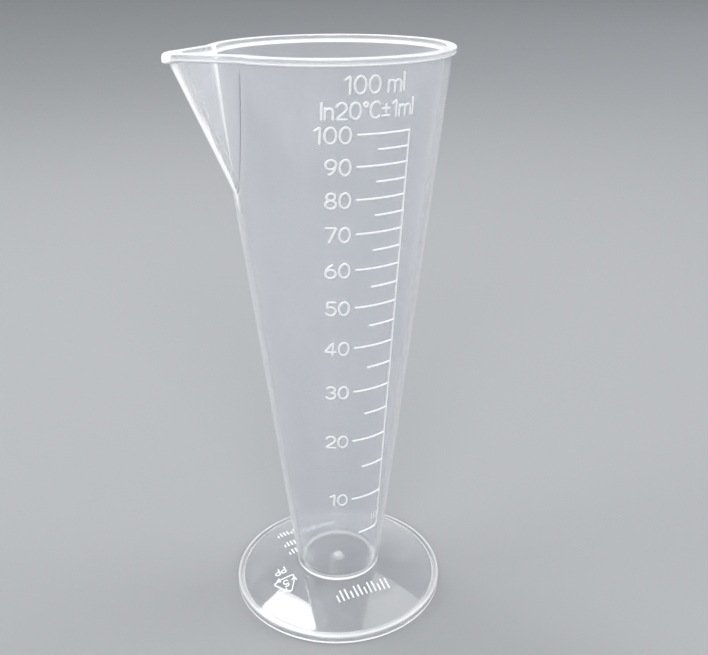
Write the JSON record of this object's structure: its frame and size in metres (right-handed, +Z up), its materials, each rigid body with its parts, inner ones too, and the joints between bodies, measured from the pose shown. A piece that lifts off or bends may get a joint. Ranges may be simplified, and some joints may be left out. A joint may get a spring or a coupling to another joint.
{
  "type": "conical measuring cup",
  "caption": "Tapered translucent plastic measuring cup with a pouring spout, rim bead, raised millilitre scale and a wide domed round foot.",
  "frame": {"origin": "on the surface the cup stands on, under the middle of the whole cup's box; the cup's own axis is 4.425 mm along +X", "axes": "+Z up along the cup's axis; the pouring spout points along -X; the raised scale faces -Y"},
  "size_m": [0.0626, 0.0538, 0.137],
  "materials": {
    "milky_plastic": "translucent, slightly milky polypropylene with a soft gloss",
    "clear_plastic": "translucent polypropylene, glossier and a little clearer than the wall",
    "relief_plastic": "raised moulded lines of the same polypropylene, which catch the light"
  },
  "bodies": {
    "root": {"conical_vessel": "milky_plastic", "foot": "clear_plastic", "scale_line": "relief_plastic", "graduation_5ml": "relief_plastic", "graduation_10ml": "relief_plastic", "graduation_15ml": "relief_plastic", "graduation_20ml": "relief_plastic", "graduation_25ml": "relief_plastic", "graduation_30ml": "relief_plastic", "graduation_35ml": "relief_plastic", "graduation_40ml": "relief_plastic", "graduation_45ml": "relief_plastic", "graduation_50ml": "relief_plastic", "graduation_55ml": "relief_plastic", "graduation_60ml": "relief_plastic", "graduation_65ml": "relief_plastic", "graduation_70ml": "relief_plastic", "graduation_75ml": "relief_plastic", "graduation_80ml": "relief_plastic", "graduation_85ml": "relief_plastic", "graduation_90ml": "relief_plastic", "graduation_95ml": "relief_plastic", "graduation_100ml": "relief_plastic"}
  },
  "joints": []
}
